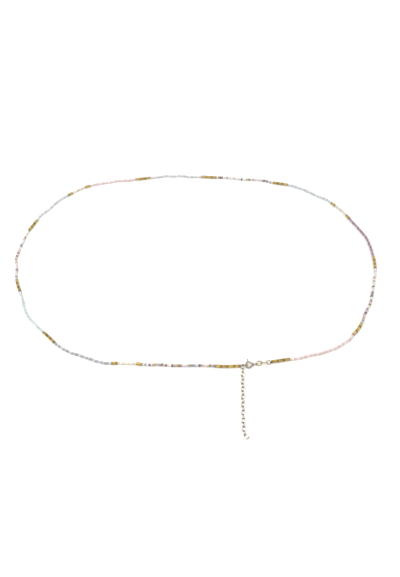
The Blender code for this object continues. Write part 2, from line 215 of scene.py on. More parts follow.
# Kind of run and number of beads, from the clasp's right side round to its left side
stringRuns = [
    ("tubes", 3), ("pink", 37), ("tubes", 3), ("mixedRight", 40), ("tubes", 3), ("mauve", 32),
    ("tubes", 1), ("cream", 10), ("tubes", 1), ("blue", 30), ("tubes", 3), ("mixedFar", 35),
    ("tubes", 3), ("lavender", 32), ("tubes", 3), ("pink", 28), ("tubes", 1), ("cream", 9),
    ("tubes", 1), ("white", 27), ("tubes", 3), ("mixedLeft", 38), ("tubes", 3), ("mint", 32),
    ("tubes", 3), ("silver", 32), ("tubes", 1), ("cream", 9), ("tubes", 1), ("mixedNear", 35),
    ("tubes", 4),
]

# The multicolour runs, bead by bead: W chalk white, P pink, M mauve, D dark mauve, R red mauve, A peach,
# G gold, S silver, C cream, L lavender
mixedCharts = {
    "mixedRight": "WMMAAPMDWMMWCGPMMWWDMMMPWWGCWWSWAAWWWLPW",
    "mixedFar": "WMWDMDMWPCWPMWGASWWDWWCCSCCWSWWGDMP",
    "mixedLeft": "WWWWWAALWWWSSWWPPMMPMCAMWMWPWPMMPWWSSW",
    "mixedNear": "SSWDPGASSDAGPWDMAGRPLLSGSSSDMPWAGSS",
}
chartKinds = {
    "W": "chalk", "P": "pink", "M": "mauve", "D": "darkMauve", "R": "redMauve", "A": "peach",
    "G": "gold", "S": "silver", "C": "cream", "L": "lavender",
}


def smoothRoute(points, closed, steps=24):
    # Catmull-Rom: a cubic from each point to the next, whose slope at a point is half the step
    # between its neighbours
    if closed:
        before, here, after, later = [np.roll(points, shift, axis=0)[:, None] for shift in (1, 0, -1, -2)]
    else:
        padded = np.vstack([points[:1], points, points[-1:]])
        before, here, after, later = [padded[shift:len(points) - 1 + shift, None] for shift in range(4)]
    t = (np.arange(steps) / steps)[None, :, None]
    curve = 0.5 * (
        2 * here + (after - before) * t + (2 * before - 5 * here + 4 * after - later) * t ** 2
        + (3 * here - before - 3 * after + later) * t ** 3
    )
    last = points[:1] if closed else points[-1:]
    return np.vstack([curve.reshape(-1, points.shape[1]), last])


def lengthMarks(curve):
    # how far along the curve each of its points lies
    return np.concatenate([[0.0], np.cumsum(np.linalg.norm(np.diff(curve, axis=0), axis=1))])


stringCurve = smoothRoute(routePoints, closed=True)
stringMarks = lengthMarks(stringCurve)
stringLength = stringMarks[-1]

# The slack string wanders from its middle line: crests outward and troughs inward, picked from
# offsets measured on the photo, each with its distance along the string and its size, both in mm
stringSway = np.array([
    (24, 0.0), (36, 0.0), (43, 0.4), (52, -0.4), (60, 0.1), (66, -0.3), (73, 0.2), (79, -0.1),
    (87, 0.2), (92, -0.3), (99, 0.3), (117, -0.4), (128, 0.4), (137, -0.1), (150, 0.0), (161, 0.5),
    (174, 0.1), (183, -0.1), (202, 0.4), (211, -0.2), (223, 0.1), (232, 0.3), (247, -0.1),
    (256, 0.5), (267, -0.4), (280, 0.4), (290, 0.2), (303, -0.2), (311, -0.2), (320, 0.6),
    (338, -0.5), (351, 0.6), (367, -0.4), (380, 0.6), (389, -0.5), (396, 0.4), (403, -0.5),
    (410, 0.6), (418, -0.5), (427, 0.2), (431, -0.1), (438, 0.4), (444, -0.5), (455, 0.4),
    (462, -0.2), (474, 0.3), (486, 0.2), (500, -0.3), (513, 0.5), (528, -0.6), (538, 0.6),
    (548, -0.3), (561, 0.2), (570, -0.3), (585, 0.0), (592, 0.5), (600, -0.4), (614, 0.3),
    (633, -0.6), (648, 0.4), (666, -0.3), (674, 0.3), (686, -0.2), (703, 0.5), (716, -0.6),
    (738, 0.4), (751, 0.2), (757, -0.2), (765, 0.2), (773, -0.2), (781, 0.2), (792, 0.2),
    (798, -0.2), (811, -0.1), (820, 0.4), (831, 0.0),
])

stringLayout = {
    "tangentReach": 0.5 * mm,    # how far before and behind a place its direction is taken
    "searchReach": 60 * mm,      # of string, in which the first tube's middle is looked for
    "searchPoints": 6001,
    "endGap": 0.5 * mm,          # from the last tube to the line's closing point
}


def unit(vectors):
    return vectors / np.linalg.norm(vectors, axis=-1, keepdims=True)


def onMiddleLine(distance):
    # the point of the string's middle line at each distance along it, on the floor
    distance = np.asarray(distance) % stringLength
    return np.stack([np.interp(distance, stringMarks, stringCurve[:, axis]) for axis in (0, 1)], axis=-1)


def onString(distance):
    # the middle line's point, moved square to it by the sway: from a crest to the next trough
    # the sway follows half a cosine
    distance = np.asarray(distance) % stringLength
    places, sizes = stringSway[:, 0] * mm, stringSway[:, 1] * mm
    after = np.searchsorted(places, distance).clip(1, len(places) - 1)
    share = ((distance - places[after - 1]) / (places[after] - places[after - 1])).clip(0, 1)
    sway = sizes[after - 1] + (sizes[after] - sizes[after - 1]) * (1 - np.cos(math.pi * share)) / 2
    reach = stringLayout["tangentReach"]
    step = unit(onMiddleLine(distance + reach) - onMiddleLine(distance - reach))
    outward = np.stack([step[..., 1], -step[..., 0]], axis=-1)
    return onMiddleLine(distance) + outward * sway[..., None]


def headings(distance):
    # unit tangents, from two points a little apart
    reach = stringLayout["tangentReach"]
    return unit(onString(np.asarray(distance) + reach) - onString(np.asarray(distance) - reach))


def levelAxes(heading):
    # level unit vectors along each heading and to its left
    level = np.zeros(len(heading))
    return np.column_stack([heading, level]), np.column_stack([-heading[:, 1], heading[:, 0], level])


# Meshes

def gridFaces(rows, columns, closedRows, closedColumns):
    # quads between neighbouring points of a grid, which may close on itself either way
    row, column = np.meshgrid(
        np.arange(rows if closedRows else rows - 1),
        np.arange(columns if closedColumns else columns - 1), indexing="ij",
    )
    nextRow, nextColumn = (row + 1) % rows, (column + 1) % columns
    corners = [row * columns + column, nextRow * columns + column,
               nextRow * columns + nextColumn, row * columns + nextColumn]
    return np.stack(corners, axis=-1).reshape(-1, 4)


def endCaps(rows, columns):
    # a face over the first and the last row of a grid whose rows close on themselves
    rim = np.arange(columns)
    return np.stack([rim, rim[::-1] + (rows - 1) * columns])


def repeatFaces(faces, copies, pointsEach):
    # the same faces once for each copy of the points
    return (faces[None] + pointsEach * np.arange(copies)[:, None, None]).reshape(-1, faces.shape[1])


def putMesh(name, points, faceLists, material, attributes=None, sharpDeg=40.0):
    # faceLists holds arrays of triangles or quads; attributes holds one number for each point
    mesh = bpy.data.meshes.new(name)
    points = np.ascontiguousarray(points.reshape(-1, 3), dtype=np.float32)
    sizes = np.concatenate([np.full(len(faces), faces.shape[1]) for faces in faceLists])
    corners = np.concatenate([faces.ravel() for faces in faceLists])
    mesh.vertices.add(len(points))
    mesh.vertices.foreach_set("co", points.ravel())
    mesh.loops.add(len(corners))
    mesh.loops.foreach_set("vertex_index", corners.astype(np.int32))
    mesh.polygons.add(len(sizes))
    mesh.polygons.foreach_set("loop_start", np.concatenate([[0], np.cumsum(sizes)[:-1]]).astype(np.int32))
    mesh.update(calc_edges=True)
    mesh.validate()
    mesh.shade_smooth()
    mesh.set_sharp_from_angle(angle=math.radians(sharpDeg))
    for label, values in (attributes or {}).items():
        layer = mesh.attributes.new(label, "FLOAT", "POINT")
        layer.data.foreach_set("value", np.ascontiguousarray(values, dtype=np.float32).ravel())
    mesh.materials.append(material)
    piece = bpy.data.objects.new(name, mesh)
    bpy.context.scene.collection.objects.link(piece)
    return piece


# Seed beads

seedBead = {
    "diameter": 2.1 * mm,
    "hole": 0.75 * mm,
    "length": 1.42 * mm,
    "around": 10,
    "across": 6,
    "squareness": 2.3,     # of the cut across the glass: 2 is round, more is squarer
    "sizeSpread": 0.04,    # how much beads differ, as a share
    "lengthSpread": 0.06,
    "tiltDeg": 8.0,
    "aside": 0.13 * mm,
    # how many times its spread a bead may differ in girth, length, and tilt or place
    "girthLimits": (-2, 1),
    "lengthLimits": (-2, 0.6),
    "leanLimits": (-2, 2),
    # each bead's shade steps on by the golden ratio, so that neighbours always differ
    "shadePitch": 1.5 * mm,
    "shadeStep": 0.618034,
    "shadeSpread": 0.1,
}


def seedRing(size):
    # A ring bead about X: the cut across its glass is a superellipse, |x/a|^n + |(r-m)/b|^n = 1,
    # with a half the bead's length, m the middle of the glass wall and b half the wall
    turn = np.linspace(0, 2 * math.pi, size["across"], endpoint=False)
    power = 2 / size["squareness"]
    along = np.sign(np.sin(turn)) * np.abs(np.sin(turn)) ** power * size["length"] / 2
    wall = (size["diameter"] - size["hole"]) / 4
    middle = (size["diameter"] + size["hole"]) / 4
    reach = middle + np.sign(np.cos(turn)) * np.abs(np.cos(turn)) ** power * wall
    lean = np.linspace(0, 2 * math.pi, size["around"], endpoint=False)[:, None]
    return np.stack([
        np.broadcast_to(along, (size["around"], size["across"])),
        reach * np.cos(lean), reach * np.sin(lean),
    ], axis=-1).reshape(-1, 3)


def seedBeads(name, distances, material, size):
    # every bead of one colour in one mesh, each a little its own in size, tilt and place
    count = len(distances)
    ring = seedRing(size)
    girth = 1 + size["sizeSpread"] * rng.standard_normal(count).clip(*size["girthLimits"])
    stretch = 1 + size["lengthSpread"] * rng.standard_normal(count).clip(*size["lengthLimits"])
    local = ring[None] * np.stack([stretch, girth, girth], axis=-1)[:, None]
    heading = headings(distances)
    tilt = np.radians(size["tiltDeg"]) * rng.standard_normal(count).clip(*size["leanLimits"])
    turned = np.stack([
        heading[:, 0] * np.cos(tilt) - heading[:, 1] * np.sin(tilt),
        heading[:, 0] * np.sin(tilt) + heading[:, 1] * np.cos(tilt),
    ], axis=-1)
    ahead, side = levelAxes(turned)
    spin = rng.uniform(0, 2 * math.pi, count)[:, None]
    across = side * np.cos(spin) + upward * np.sin(spin)
    over = upward * np.cos(spin) - side * np.sin(spin)
    place = np.concatenate([onString(distances), (girth * size["diameter"] / 2)[:, None]], axis=1)
    place += side * (size["aside"] * rng.standard_normal(count).clip(*size["leanLimits"]))[:, None]
    points = (
        place[:, None] + local[..., :1] * ahead[:, None]
        + local[..., 1:2] * across[:, None] + local[..., 2:] * over[:, None]
    )
    faces = repeatFaces(gridFaces(size["around"], size["across"], True, True), count, len(ring))
    order = np.round(distances / size["shadePitch"])
    shade = (order * size["shadeStep"] + size["shadeSpread"] * rng.uniform(0, 1, count)) % 1.0
    return putMesh(name, points, [faces], material, {"beadShade": np.repeat(shade, len(ring))})


seedLooks = {
    # kind: name of the glass, the two hex shades its beads lie between, roughness, metallic
    "pink": ("pinkPearlGlass", "#F7EBE8", "#DEC2BF", 0.22, 0.0),
    "mauve": ("mauveLustreGlass", "#D4BDC0", "#92767C", 0.20, 0.0),
    "darkMauve": ("darkMauveLustreGlass", "#7A666C", "#5E4E57", 0.18, 0.0),
    "redMauve": ("redMauveLustreGlass", "#95696A", "#7A5454", 0.18, 0.0),
    "cream": ("creamPearlGlass", "#F5F0E4", "#D8CDBB", 0.24, 0.0),
    "blue": ("paleBluePearlGlass", "#E9EBED", "#C4CAD0", 0.20, 0.0),
    "lavender": ("greyLavenderPearlGlass", "#ECEAEC", "#CBC8CE", 0.22, 0.0),
    "white": ("blueWhiteAlabasterGlass", "#F0F2F3", "#CCD0D3", 0.20, 0.0),
    "chalk": ("chalkWhitePearlGlass", "#F4F2EC", "#DDDBD3", 0.22, 0.0),
    "mint": ("mintPearlGlass", "#E6EBE8", "#C2CCC8", 0.22, 0.0),
    "silver": ("silverGreyLustreGlass", "#ECEBEA", "#9B9A9E", 0.18, 0.2),
    "peach": ("peachPearlGlass", "#E2CCB4", "#C4A88A", 0.20, 0.0),
    "gold": ("khakiGoldGlaze", "#B3A05E", "#7A6C3A", 0.28, 0.5),
}


def pearlGlass(name, pale, deep, roughness, metallic):
    # opaque glass seed bead with a pearl lustre fired on: soft body colour, a sharp small highlight,
    # and each bead a shade of its own
    uniform = {"Roughness": roughness, "Metallic": metallic, "Coat Weight": 0.5, "Coat Roughness": 0.06}
    if metallic == 0.0:
        uniform["IOR"] = 1.52
    material = newMaterial(name, uniform)
    own = addNode(material, "ShaderNodeAttribute", {"attribute_name": "beadShade"})
    spot = addNode(material, "ShaderNodeTexCoord")
    # cloudy streaks in the glass, about 0.7 mm
    cloud = addNode(material, "ShaderNodeTexNoise", {"Scale": 1.0 / (0.7 * mm), "Detail": 2.0},
                    {"Vector": spot.outputs["Object"]})
    blend = addNode(material, "ShaderNodeMath", {"operation": "MULTIPLY_ADD", 1: 0.75},
                    {0: own.outputs["Fac"], 2: cloud.outputs["Fac"]})
    ramp = addNode(material, "ShaderNodeValToRGB", {"stops": [(0.4, pale), (1.0, deep)]},
                   {"Fac": blend.outputs["Value"]})
    # fire-polished skin, ripples of about 0.25 mm
    ripple = addNode(material, "ShaderNodeTexNoise", {"Scale": 1.0 / (0.25 * mm), "Detail": 1.0},
                     {"Vector": spot.outputs["Object"]})
    bump = addNode(material, "ShaderNodeBump", {"Strength": 0.25, "Distance": 0.02 * mm},
                   {"Height": ripple.outputs["Fac"]})
    return feedShader(material, {"Base Color": ramp.outputs["Color"], "Normal": bump.outputs["Normal"]})


# Tube beads

tubeBead = {
    "diameter": 2.25 * mm,
    "length": 4.45 * mm,
    "gap": 0.15 * mm,
    "bore": 1.0 * mm,
    "rim": 0.14 * mm,        # radius of the fire-polished rim
    "boreDepth": 0.6 * mm,   # of the bore's wall, as far as one sees into it
    "boreEdge": 0.05 * mm,   # bevel of the bore's mouth
    "around": 24,
    "rimSteps": 4,
    "sharpDeg": 50.0,
}


def tubeProfile(size):
    # half a tube's wall: out of the bore, round the rim as a quarter circle, along the outside
    half, outer, bore, rim = size["length"] / 2, size["diameter"] / 2, size["bore"] / 2, size["rim"]
    turn = np.linspace(0, math.pi / 2, size["rimSteps"] + 1)
    rightRim = np.stack([half - rim + rim * np.cos(turn), outer - rim + rim * np.sin(turn)], axis=-1)
    depth, edge = size["boreDepth"], size["boreEdge"]
    face = np.array([[half - depth, bore], [half - edge, bore], [half, bore + edge]])
    rightHalf = np.vstack([face, rightRim, [[half / 2, outer]]])
    leftHalf = rightHalf[::-1] * [-1, 1]
    return np.vstack([rightHalf, [[0.0, outer]], leftHalf])


def tubeBeads(name, starts, material, size):
    # the profile carried round the tube's own axis, once for each bead on the string
    count = len(starts)
    pitch = size["length"] + size["gap"]
    profile = tubeProfile(size)
    lean = np.linspace(0, 2 * math.pi, size["around"], endpoint=False)[:, None]
    local = np.stack([
        np.broadcast_to(profile[:, 0], (size["around"], len(profile))),
        profile[:, 1] * np.cos(lean), profile[:, 1] * np.sin(lean),
    ], axis=-1).reshape(-1, 3)
    near, far = onString(starts), onString(starts + pitch)
    ahead, side = levelAxes(unit(far - near))
    middle = np.concatenate([(near + far) / 2, np.full((count, 1), size["diameter"] / 2)], axis=1)
    points = (middle[:, None] + local[None, :, :1] * ahead[:, None]
              + local[None, :, 1:2] * side[:, None] + local[None, :, 2:] * upward)
    faces = repeatFaces(gridFaces(size["around"], len(profile), True, True), count, len(local))
    along = np.tile(np.abs(local[:, 0]) / (size["length"] / 2), count)
    shade = np.repeat(rng.uniform(0, 1, count), len(local))
    return putMesh(name, points, [faces], material, {"alongTube": along, "beadShade": shade},
                   size["sharpDeg"])


def goldLinedGlass():
    # bugle bead, clear amber glass over a gold-foil lining: deep yellow gold that darkens at the ends,
    # partly where the lining stops and the eye looks into the glass, partly painted shade where tubes
    # meet
    material = newMaterial("goldLinedGlass", {
        "Metallic": 0.9, "Roughness": 0.3,
        "Coat Weight": 1.0, "Coat Roughness": 0.04, "Coat IOR": 1.52,
    })
    along = addNode(material, "ShaderNodeAttribute", {"attribute_name": "alongTube"})
    own = addNode(material, "ShaderNodeAttribute", {"attribute_name": "beadShade"})
    spot = addNode(material, "ShaderNodeTexCoord")
    # draw lines and thin spots of the foil, about 1.5 mm
    foil = addNode(material, "ShaderNodeTexNoise", {"Scale": 1.0 / (1.5 * mm), "Detail": 3.0},
                   {"Vector": spot.outputs["Object"]})
    # partly painted shade: darker toward each tube's ends, where the lining stops and where shade falls
    # in the gap between butting tubes
    endDarkening = addNode(material, "ShaderNodeValToRGB", {"stops": [(0.55, "#CFB25A"), (1.0, "#765810")]},
                   {"Fac": along.outputs["Fac"]})
    mix = addNode(material, "ShaderNodeMath", {"operation": "MULTIPLY_ADD", 1: 0.2},
                  {0: own.outputs["Fac"], 2: foil.outputs["Fac"]})
    tone = addNode(material, "ShaderNodeValToRGB", {"stops": [(0.5, "#FFFFFF"), (0.85, "#A88F4C")]},
                   {"Fac": mix.outputs["Value"]})
    product = addNode(material, "ShaderNodeMix", {"data_type": "RGBA", "blend_type": "MULTIPLY", 0: 1.0},
                      {6: endDarkening.outputs["Color"], 7: tone.outputs["Color"]})
    bump = addNode(material, "ShaderNodeBump", {"Strength": 0.2, "Distance": 0.02 * mm},
                   {"Height": foil.outputs["Fac"]})
    return feedShader(material, {"Base Color": product.outputs[2], "Normal": bump.outputs["Normal"]})


# Wire links

wireLink = {
    "around": 10,
    "steps": 36,
    "cutGap": 0.03 * mm,    # the butt joint that every link is closed at
    "roundFrom": 0.95,      # width over length from which a link counts as round
}
# Length, width and wire of each link of the clasp
claspLinks = {
    "end_link_left": (4.5 * mm, 3.6 * mm, 0.6 * mm),
    "connector_link_1": (3.6 * mm, 2.8 * mm, 0.5 * mm),
    "connector_link_2": (5.1 * mm, 3.9 * mm, 0.85 * mm),
    "connector_link_3": (5.6 * mm, 3.0 * mm, 0.5 * mm),
    "end_ring_right": (3.7 * mm, 3.7 * mm, 0.6 * mm),
}
extender = {
    "link": (4.15 * mm, 3.5 * mm, 0.55 * mm),
    "seat": 0.08 * mm,
    "hookGap": 0.15 * mm,     # from the end link's wire to the first link's
    "links": 17,
    "aside": 0.15 * mm,
    "firstRollsDeg": (28.0, -62.0),
    "rollsDeg": (45.0, -45.0),
    "tailHeadingsDeg": (-80.0, -45.0),
    "route": np.array([(0.0, 0.0), (-0.0001, -0.0032), (-0.0007, -0.0208), (-0.0012, -0.0378),
                       (-0.0014, -0.0580)]),
}


def wireOval(size, look):
    # An ellipse of round wire in the XY plane, cut open at the middle of one long side: each ring of
    # wire points lies square to the ellipse, and a cap closes each cut end
    length, width, wire = size
    halfLength, halfWidth = (length - wire) / 2, (width - wire) / 2
    gapTurn = look["cutGap"] / halfLength / 2
    turn = np.linspace(gapTurn, 2 * math.pi - gapTurn, look["steps"] + 1) + math.pi / 2
    middle = np.stack([halfLength * np.cos(turn), halfWidth * np.sin(turn), 0 * turn], axis=-1)
    outward = unit(np.stack([halfWidth * np.cos(turn), halfLength * np.sin(turn), 0 * turn], axis=-1))
    lean = np.linspace(0, 2 * math.pi, look["around"], endpoint=False)
    points = (middle[:, None] + wire / 2 * (outward[:, None] * np.cos(lean)[None, :, None]
                                            + upward * np.sin(lean)[None, :, None]))
    faces = gridFaces(len(turn), look["around"], False, True)
    caps = endCaps(len(turn), look["around"])
    towardEnd = np.repeat(np.abs(middle[:, 0]) / halfLength, look["around"])
    return points.reshape(-1, 3), faces, caps, towardEnd


def nodeAxes(node):
    # middle and main directions of a CAD link, from the spread of its points: its length, which is
    # toward +X, its width and the normal of its plane
    corners = np.array([vertex.co[:] for vertex in frame["nodes"][node].data.vertices])
    corners = np.unique(corners.round(7), axis=0)
    middle = corners.mean(axis=0)
    _, spread, directions = np.linalg.svd(corners - middle, full_matrices=False)
    if spread[1] > wireLink["roundFrom"] * spread[0]:
        # a round link has no longest direction of its own
        directions[0] = unit(np.cross([0.0, 1.0, 0.0], directions[2]))
    directions[0] *= math.copysign(1.0, directions[0][0])
    directions[1] = np.cross(directions[2], directions[0])
    return middle, directions


def linkTip(node, side):
    # the middle of the wire at one tip of a clasp link, side -1 the left tip and 1 the right one
    length, _, wire = claspLinks[node]
    middle, directions = nodeAxes(node)
    return middle + side * directions[0] * (length - wire) / 2


def placed(points, middle, directions):
    # points of a piece's own frame, in the shared one
    return middle + points @ directions


def aimed(start, end, roll):
    # X toward end, then turned about X by roll, as rows of a 3 by 3
    ahead = unit(end - start)
    side = unit(np.cross(upward, ahead))
    over = np.cross(ahead, side)
    return np.array([ahead, side * math.cos(roll) + over * math.sin(roll),
                     over * math.cos(roll) - side * math.sin(roll)])


def linkHeight(size, roll):
    # how high a link's middle lies when the link rests on the floor
    return (size[1] - size[2]) / 2 * abs(math.sin(roll)) + size[2] / 2


def extenderFrames():
    # the middle and directions of every extender link, from the same rule as the solids
    size = extender["link"]
    length, _, wire = size
    pitch = length - 2 * wire + extender["seat"]
    tip = linkTip("end_link_left", -1)
    curve = smoothRoute(extender["route"], closed=False)
    marks = lengthMarks(curve)
    apart = (wire + claspLinks["end_link_left"][2]) / 2 + extender["hookGap"]
    hook = np.array([tip[0] + extender["aside"], tip[1] + apart - (length - wire - pitch) / 2])
    distance = pitch * np.arange(extender["links"] + 1)
    joints = hook + np.stack([np.interp(distance, marks, curve[:, axis]) for axis in (0, 1)], axis=-1)
    for headingDeg in extender["tailHeadingsDeg"]:
        turn = math.radians(headingDeg)
        joints = np.vstack([joints, joints[-1] + pitch * np.array([math.cos(turn), math.sin(turn)])])
    count = len(joints) - 1
    rolls = np.radians(np.resize(extender["rollsDeg"], count))
    rolls[:2] = np.radians(extender["firstRollsDeg"])
    rests = np.array([linkHeight(size, roll) for roll in rolls])
    heights = np.concatenate([[tip[2]], np.maximum(rests, np.append(rests[1:], 0.0))])
    joints = np.column_stack([joints, heights[:len(joints)]])
    return [((start + end) / 2, aimed(start, end, roll))
            for start, end, roll in zip(joints, joints[1:], rolls)]


def wireLinks(name, size, frames, material):
    # one link of the same size in each frame, all in one mesh
    points, faces, caps, towardEnd = wireOval(size, wireLink)
    copies = np.array([placed(points, middle, directions) for middle, directions in frames])
    lists = [repeatFaces(part, len(frames), len(points)) for part in (faces, caps)]
    return putMesh(name, copies, lists, material, {"towardEnd": np.tile(towardEnd, len(frames))})


plateTones = {
    # part: name of the plating, its two hex shades, and the painted shade where a link's ends meet the
    # next
    "extender": ("paleGoldChainPlate", "#EBE1CF", "#CABFAA", "#5F5545"),
    "links": ("paleGoldLinkPlate", "#D9C8A7", "#AC9874", "#6B5C42"),
    "clasp": ("paleGoldClaspPlate", "#B9AC96", "#877C6B", "#6E6452"),
    "bolt": ("tarnishedBoltPlate", "#625C4F", "#464238", "#423D33"),
}


def paleGoldPlate(name, pale, deep, jointShadeHex):
    # brass wire, tumbled and flash plated in pale gold: a mirror finish softened by fine drawing
    # lines and faint grey clouds, with painted shade darkening a link's ends, where they meet the next
    # link
    material = newMaterial(name, {"Metallic": 1.0})
    spot = addNode(material, "ShaderNodeTexCoord")
    cloud = addNode(material, "ShaderNodeTexNoise", {"Scale": 1.0 / (1.2 * mm), "Detail": 3.0},
                    {"Vector": spot.outputs["Object"]})
    tone = addNode(material, "ShaderNodeValToRGB", {"stops": [(0.35, pale), (0.75, deep)]},
                   {"Fac": cloud.outputs["Fac"]})
    end = addNode(material, "ShaderNodeAttribute", {"attribute_name": "towardEnd"})
    # painted shade: the wire darkens toward a link's ends, where it meets the next link and shade falls
    # between them
    jointShadeMask = addNode(material, "ShaderNodeMapRange", {
        "interpolation_type": "SMOOTHSTEP", "From Min": 0.72, "From Max": 0.97, "To Max": 0.85,
    }, {"Value": end.outputs["Fac"]})
    colour = addNode(material, "ShaderNodeMix", {"data_type": "RGBA", 7: linear(jointShadeHex)},
                     {0: jointShadeMask.outputs["Result"], 6: tone.outputs["Color"]})
    rough = addNode(material, "ShaderNodeMapRange", {"To Min": 0.14, "To Max": 0.34},
                    {"Value": cloud.outputs["Fac"]})
    fine = addNode(material, "ShaderNodeTexNoise", {"Scale": 1.0 / (0.12 * mm), "Detail": 1.0},
                   {"Vector": spot.outputs["Object"]})
    bump = addNode(material, "ShaderNodeBump", {"Strength": 0.12, "Distance": 0.01 * mm},
                   {"Height": fine.outputs["Fac"]})
    return feedShader(material, {
        "Base Color": colour.outputs[2], "Roughness": rough.outputs["Result"],
        "Normal": bump.outputs["Normal"],
    })


# Spring ring

springRing = {
    "diameter": 5.4 * mm,
    "wire": 1.2 * mm,
    "bore": 0.82 * mm,
    "mouthDeg": (34.0, 84.0),
    "knobDeg": 95.0,
    "travelDeg": 52.0,
    "slotHalf": 0.23 * mm,
    "leans": 24,
    # steps from the mouth to the slot, along the slot, and from there round to the mouth
    "backSteps": 2,
    "slotSteps": 12,
    "restSteps": 51,
    "sharpDeg": 35.0,
    "eyeDiameter": 2.0 * mm,
    "eyeWire": 0.5 * mm,
    "eyeSolder": 0.6 * mm,     # how deep the eye is let into the ring
    "eyeSteps": 32,
    "eyeLeans": 12,
    "boltDiameter": 0.6 * mm,
    "boltSeatDeg": 5.0,
    "boltTailDeg": 24.0,
    "boltAround": 16,
    "boltSteps": 28,
    "boltSharpDeg": 50.0,
    "stemDiameter": 0.26 * mm,
    "stemEnd": 0.95,           # where the stem meets the ball, as a share of the ball's radius
    "knobDiameter": 1.0 * mm,
    "knobHeight": 1.0 * mm,
    "knobTurnDeg": (-60, 88),
    "knobSteps": 12,
}


def ringFrame():
    # the ring's axes from the bolt's joint: Z its hinge axis, X level, along the string
    joint = frame["record"]["behaviour"]["joints"][0]
    axis = unit(np.array(joint["axis"]))
    level = unit(np.cross(upward, axis))
    return np.array(joint["pos_m"]), np.array([level, np.cross(axis, level), axis])


def torusPoints(angles, leans, radius, tube):
    # (R + r cos v) cos u, (R + r cos v) sin u, r sin v for each u in angles and v in leans
    reach = radius + tube * np.cos(leans)[None, :]
    return np.stack([
        reach * np.cos(angles)[:, None], reach * np.sin(angles)[:, None],
        np.broadcast_to(tube * np.sin(leans), (len(angles), len(leans))),
    ], axis=-1)


def ringBody(size):
    # a hollow torus from one side of the mouth round to the other, its inner wall joined to the outer
    # at the mouth and round the knob's slot
    radius = (size["diameter"] - size["wire"]) / 2
    slotTurn = size["slotHalf"] / radius
    mouthStart, mouthEnd = np.radians(size["mouthDeg"])
    slotStart = math.radians(size["knobDeg"]) - slotTurn
    slotEnd = math.radians(size["knobDeg"] + size["travelDeg"]) + slotTurn
    angles = np.concatenate([
        np.linspace(mouthEnd, slotStart, size["backSteps"] + 1)[:-1],
        np.linspace(slotStart, slotEnd, size["slotSteps"] + 1)[:-1],
        np.linspace(slotEnd, mouthStart + 2 * math.pi, size["restSteps"] + 1),
    ])
    first = size["backSteps"]
    last = first + size["slotSteps"]
    columns = size["leans"]
    leans = (np.arange(columns) + 0.5) * 2 * math.pi / columns
    outer = torusPoints(angles, leans, radius, size["wire"] / 2)
    inner = torusPoints(angles, leans, radius, size["bore"] / 2)
    rows = len(angles)
    walls = gridFaces(rows, columns, False, True).reshape(rows - 1, columns, 4)
    # the slot is the three columns of faces about the ring's outermost line
    slotColumns = np.array([columns - 2, columns - 1, 0])
    keep = np.ones((rows - 1, columns), dtype=bool)
    keep[first:last, slotColumns] = False
    shift = rows * columns
    outside = walls[keep]
    inside = walls[keep][:, ::-1] + shift
    row = np.arange(first, last)
    sides = []
    for column, flip in ((1, False), (columns - 2, True)):
        a, b = row * columns + column, (row + 1) * columns + column
        quad = np.stack([a, b, b + shift, a + shift], axis=-1)
        sides.append(quad if not flip else quad[:, ::-1])
    for place, group, flip in ((0, np.arange(columns), True), (rows - 1, np.arange(columns), False),
                               (first, slotColumns, False), (last, slotColumns, True)):
        a, b = place * columns + group, place * columns + (group + 1) % columns
        quad = np.stack([a, b, b + shift, a + shift], axis=-1)
        sides.append(quad if not flip else quad[:, ::-1])
    points = np.concatenate([outer.reshape(-1, 3), inner.reshape(-1, 3)])
    return points, np.concatenate([outside, inside, *[side[:, ::-1] for side in sides]])


def makeRing(material, size):
    # the ring and, soldered to it, the eye that the chain's last link runs through
    points, faces = ringBody(size)
    eyeReach = size["diameter"] / 2 - size["eyeSolder"] + size["eyeDiameter"] / 2
    eyeRadius = (size["eyeDiameter"] - size["eyeWire"]) / 2
    turns = np.linspace(0, 2 * math.pi, size["eyeSteps"], endpoint=False)
    leans = np.linspace(0, 2 * math.pi, size["eyeLeans"], endpoint=False)
    eye = torusPoints(turns, leans, eyeRadius, size["eyeWire"] / 2).reshape(-1, 3) + [eyeReach, 0, 0]
    eyeFaces = gridFaces(len(turns), len(leans), True, True) + len(points)
    middle, directions = ringFrame()
    every = placed(np.concatenate([points, eye]), middle, directions)
    return putMesh("spring_ring_body", every, [faces, eyeFaces], material,
                   sharpDeg=size["sharpDeg"])


